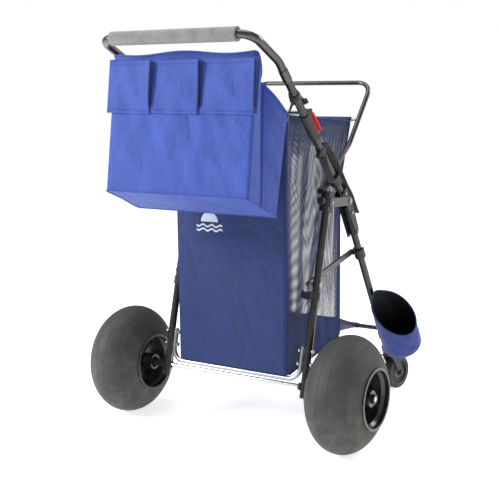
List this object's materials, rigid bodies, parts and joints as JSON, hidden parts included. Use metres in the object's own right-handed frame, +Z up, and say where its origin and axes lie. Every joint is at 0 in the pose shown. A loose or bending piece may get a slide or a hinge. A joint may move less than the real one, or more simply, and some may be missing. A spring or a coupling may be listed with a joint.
{
  "type": "beach cart",
  "caption": "Folding beach cart with wide balloon wheels, swivel casters, an A-frame of bent tube, a mesh storage bag, a rear tote with pockets, a leg pouch and a push handle.",
  "frame": {"origin": "centre of the bounding box's footprint, on the ground", "axes": "+Z up, +Y forward from the handle to the casters, +X to the cart's right"},
  "size_m": [0.839, 0.859, 1.046],
  "materials": {
    "frame_paint": "satin",
    "bright_steel": "polished",
    "zinc_steel": "satin",
    "grey_plate": "satin",
    "grip_foam": "matte",
    "black_plastic": "matte",
    "red_plastic": "gloss",
    "tyre_rubber": "matte",
    "rim_plastic": "satin",
    "caster_rubber": "matte",
    "blue_cloth": "matte",
    "mesh_cloth": "matte",
    "black_webbing": "matte"
  },
  "bodies": {
    "main_frame": {"handle_bow": "frame_paint", "handle_grip": "grip_foam", "upper_tube_right": "frame_paint", "upper_tube_left": "frame_paint", "tube_sleeves": "bright_steel", "rear_rod": "zinc_steel", "hinge_bracket_right": "black_plastic", "hinge_bracket_left": "black_plastic", "bracket_rivets": "zinc_steel", "hinge_pins": "zinc_steel", "front_leg_right": "frame_paint", "front_leg_left": "frame_paint", "caster_sockets": "black_plastic", "rack_mounts": "black_plastic", "clip_bases": "black_plastic", "tube_knobs": "black_plastic", "hinge_straps": "black_webbing", "tote_body": "blue_cloth", "tote_pockets": "blue_cloth", "tote_loops": "black_webbing", "cross_bar": "frame_paint", "leg_pouch": "blue_cloth", "pouch_strap": "black_webbing", "bag_sides": "mesh_cloth", "bag_rear": "blue_cloth", "bag_floor": "blue_cloth", "bag_front": "mesh_cloth", "bag_apron": "blue_cloth"},
    "rear_frame": {"rear_leg_right": "frame_paint", "rear_leg_left": "frame_paint", "hinge_links": "grey_plate", "leg_top_blocks": "black_plastic", "rear_pins": "zinc_steel", "base_hoop": "zinc_steel", "leg_bolts": "zinc_steel", "leg_plugs": "black_plastic", "rear_axle": "bright_steel", "axle_fittings": "black_plastic", "side_ties": "black_webbing"},
    "rack": {"rack_tube": "frame_paint", "front_rod": "zinc_steel"},
    "brace_left": {"brace_left": "grey_plate"},
    "brace_shoe_left": {"brace_shoe_left": "black_plastic"},
    "rear_wheel_left": {"tyre_left": "tyre_rubber", "rim_left": "rim_plastic"},
    "caster_fork_left": {"caster_fork_left": "black_plastic"},
    "caster_wheel_left": {"caster_wheel_left": "caster_rubber"},
    "clip_lever_left": {"clip_lever_left": "red_plastic"},
    "latch_lever_left": {"latch_lever_left": "black_plastic"},
    "brace_right": {"brace_right": "grey_plate"},
    "brace_shoe_right": {"brace_shoe_right": "black_plastic"},
    "rear_wheel_right": {"tyre_right": "tyre_rubber", "rim_right": "rim_plastic"},
    "caster_fork_right": {"caster_fork_right": "black_plastic"},
    "caster_wheel_right": {"caster_wheel_right": "caster_rubber"},
    "clip_lever_right": {"clip_lever_right": "red_plastic"},
    "latch_lever_right": {"latch_lever_right": "black_plastic"}
  },
  "joints": [
    {"name": "frame_fold", "type": "hinge", "parent": "main_frame", "child": "rear_frame", "pos_m": [0, 0.05446, 0.605], "axis": [1, 0, 0], "range_deg": [0, 40], "deforming": ["bag_sides", "bag_rear", "bag_floor", "side_ties", "leg_pouch"]},
    {"name": "rack_fold", "type": "hinge", "parent": "main_frame", "child": "rack", "pos_m": [0, -0.03654, 0.64], "axis": [1, 0, 0], "range_deg": [0, 72], "deforming": ["bag_front"]},
    {"name": "brace_swing_left", "type": "hinge", "parent": "rear_frame", "child": "brace_left", "pos_m": [-0.1925, -0.10577, 0.40488], "axis": [1, 0, 0], "range_deg": [-80, 0]},
    {"name": "shoe_tilt_left", "type": "hinge", "parent": "brace_left", "child": "brace_shoe_left", "pos_m": [-0.1925, 0.14647, 0.45065], "axis": [1, 0, 0], "range_deg": [0, 40]},
    {"name": "wheel_spin_left", "type": "hinge", "parent": "rear_frame", "child": "rear_wheel_left", "pos_m": [-0.338, -0.17454, 0.15], "axis": [1, 0, 0], "continuous": true},
    {"name": "caster_swivel_left", "type": "hinge", "parent": "main_frame", "child": "caster_fork_left", "pos_m": [-0.224, 0.34746, 0.1125], "axis": [0, 0, 1], "continuous": true},
    {"name": "caster_spin_left", "type": "hinge", "parent": "caster_fork_left", "child": "caster_wheel_left", "pos_m": [-0.21735, 0.37876, 0.05], "axis": [0.9781, -0.2079, 0], "continuous": true},
    {"name": "clip_swing_left", "type": "hinge", "parent": "main_frame", "child": "clip_lever_left", "pos_m": [-0.216, -0.1519, 0.84908], "axis": [1, 0, 0], "range_deg": [0, 60]},
    {"name": "latch_swing_left", "type": "hinge", "parent": "main_frame", "child": "latch_lever_left", "pos_m": [-0.216, 0.06777, 0.58267], "axis": [1, 0, 0], "range_deg": [0, 25], "stiffness_Nm_per_rad": 0.05},
    {"name": "brace_swing_right", "type": "hinge", "parent": "rear_frame", "child": "brace_right", "pos_m": [0.1925, -0.10577, 0.40488], "axis": [1, 0, 0], "range_deg": [-80, 0]},
    {"name": "shoe_tilt_right", "type": "hinge", "parent": "brace_right", "child": "brace_shoe_right", "pos_m": [0.1925, 0.14647, 0.45065], "axis": [1, 0, 0], "range_deg": [0, 40]},
    {"name": "wheel_spin_right", "type": "hinge", "parent": "rear_frame", "child": "rear_wheel_right", "pos_m": [0.338, -0.17454, 0.15], "axis": [1, 0, 0], "continuous": true},
    {"name": "caster_swivel_right", "type": "hinge", "parent": "main_frame", "child": "caster_fork_right", "pos_m": [0.224, 0.34746, 0.1125], "axis": [0, 0, 1], "continuous": true},
    {"name": "caster_spin_right", "type": "hinge", "parent": "caster_fork_right", "child": "caster_wheel_right", "pos_m": [0.23065, 0.37876, 0.05], "axis": [0.9781, -0.2079, 0], "continuous": true},
    {"name": "clip_swing_right", "type": "hinge", "parent": "main_frame", "child": "clip_lever_right", "pos_m": [0.216, -0.1519, 0.84908], "axis": [1, 0, 0], "range_deg": [0, 60]},
    {"name": "latch_swing_right", "type": "hinge", "parent": "main_frame", "child": "latch_lever_right", "pos_m": [0.216, 0.06777, 0.58267], "axis": [1, 0, 0], "range_deg": [0, 25], "stiffness_Nm_per_rad": 0.05}
  ],
  "couplings": [
    {"joint": "brace_swing_left", "follows": "frame_fold", "ratio": -2},
    {"joint": "shoe_tilt_left", "follows": "frame_fold", "ratio": 1},
    {"joint": "brace_swing_right", "follows": "frame_fold", "ratio": -2},
    {"joint": "shoe_tilt_right", "follows": "frame_fold", "ratio": 1}
  ]
}
